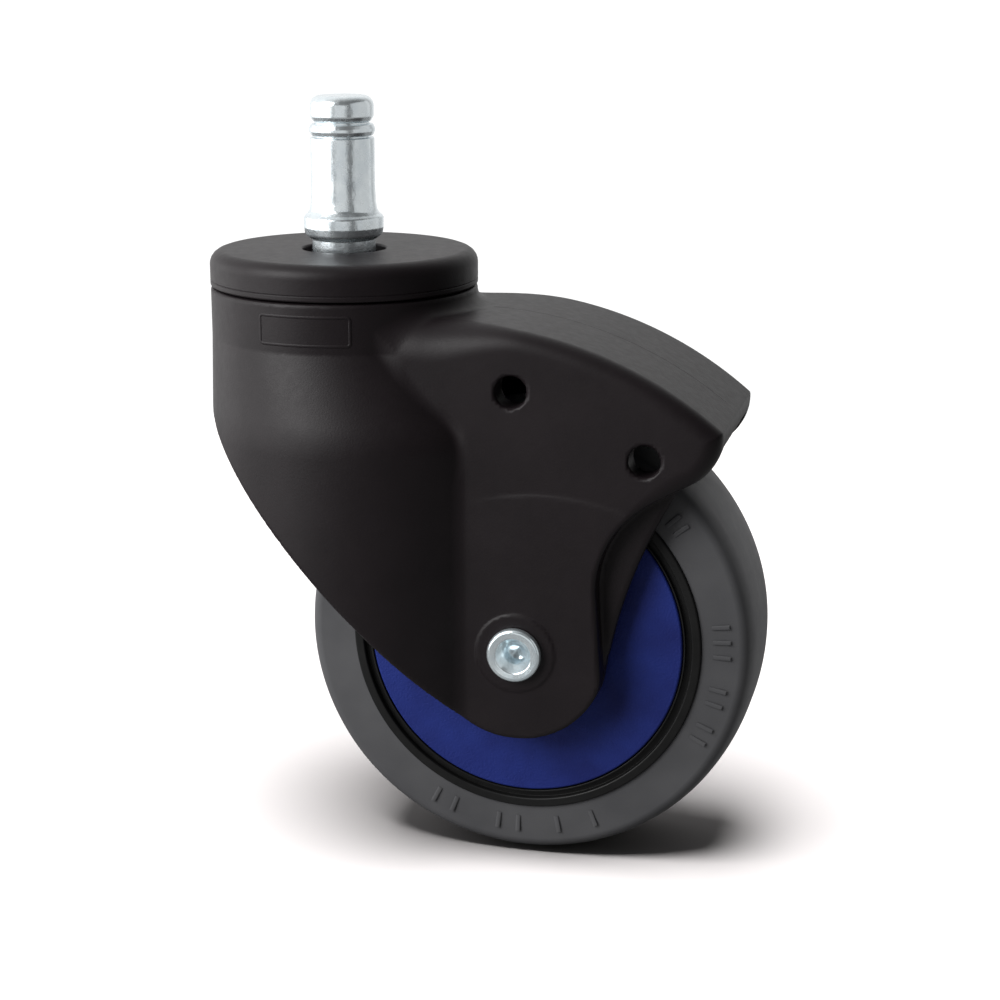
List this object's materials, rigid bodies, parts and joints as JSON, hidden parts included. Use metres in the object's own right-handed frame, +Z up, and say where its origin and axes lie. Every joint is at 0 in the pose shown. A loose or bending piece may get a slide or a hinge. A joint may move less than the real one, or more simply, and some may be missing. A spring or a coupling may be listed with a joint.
{
  "type": "swivel caster",
  "caption": "Swivel caster for an office chair: grip-ring stem, ball-bearing head, closed plastic fork and a grey-tyred wheel with blue cover discs.",
  "frame": {"origin": "on the swivel axis, where the stem's barrel leaves its collar", "axes": "+Z up along the stem, +X from the swivel axis towards the axle, Y along the axle"},
  "size_m": [0.0989, 0.0572, 0.1314],
  "materials": {
    "zinc_plated_steel": "bright zinc plating, smooth",
    "spring_steel": "oiled spring steel",
    "bearing_steel": "ground",
    "cage_nylon": "natural nylon",
    "housing_plastic": "fine-grained moulded nylon, satin",
    "seal_rubber": "soft matt",
    "rim_plastic": "moulded, semi-matt",
    "disc_plastic": "fine-grained, matt",
    "tyre_rubber": "smooth moulded, non-marking"
  },
  "bodies": {
    "stem": {"stem": "zinc_plated_steel", "grip_ring": "zinc_plated_steel", "retaining_clip": "spring_steel", "swivel_inner_race": "bearing_steel"},
    "swivel_cage": {"swivel_ball_cage": "cage_nylon", "swivel_balls": "bearing_steel"},
    "swivel": {"fork_housing": "housing_plastic", "head_cap": "housing_plastic", "dust_seal": "seal_rubber", "swivel_bush": "cage_nylon", "swivel_outer_race": "bearing_steel", "swivel_bearing_shield": "bearing_steel", "axle_rivet": "zinc_plated_steel", "axle_spacer": "bearing_steel", "side_spacer_left": "bearing_steel", "side_spacer_right": "bearing_steel", "wheel_inner_race_left": "bearing_steel", "wheel_inner_race_right": "bearing_steel"},
    "wheel_cages": {"wheel_ball_cage_left": "cage_nylon", "wheel_balls_left": "bearing_steel", "wheel_ball_cage_right": "cage_nylon", "wheel_balls_right": "bearing_steel"},
    "wheel": {"wheel_rim": "rim_plastic", "tyre": "tyre_rubber", "cover_disc_left": "disc_plastic", "cover_disc_right": "disc_plastic", "wheel_outer_race_left": "bearing_steel", "wheel_outer_race_right": "bearing_steel", "wheel_bearing_shield_left": "bearing_steel", "wheel_bearing_shield_right": "bearing_steel"}
  },
  "joints": [
    {"name": "swivel_turn", "type": "hinge", "parent": "stem", "child": "swivel", "pos_m": [0, 0, 0], "axis": [0, 0, 1], "continuous": true},
    {"name": "swivel_cage_turn", "type": "hinge", "parent": "stem", "child": "swivel_cage", "pos_m": [0, 0, 0], "axis": [0, 0, 1], "continuous": true},
    {"name": "wheel_spin", "type": "hinge", "parent": "swivel", "child": "wheel", "pos_m": [0.0355, 0, -0.0716], "axis": [0, 1, 0], "continuous": true},
    {"name": "wheel_cage_turn", "type": "hinge", "parent": "swivel", "child": "wheel_cages", "pos_m": [0.0355, 0, -0.0716], "axis": [0, 1, 0], "continuous": true}
  ],
  "couplings": [
    {"joint": "swivel_cage_turn", "follows": "swivel_turn", "ratio": 0.6341},
    {"joint": "wheel_cage_turn", "follows": "wheel_spin", "ratio": 0.63}
  ]
}
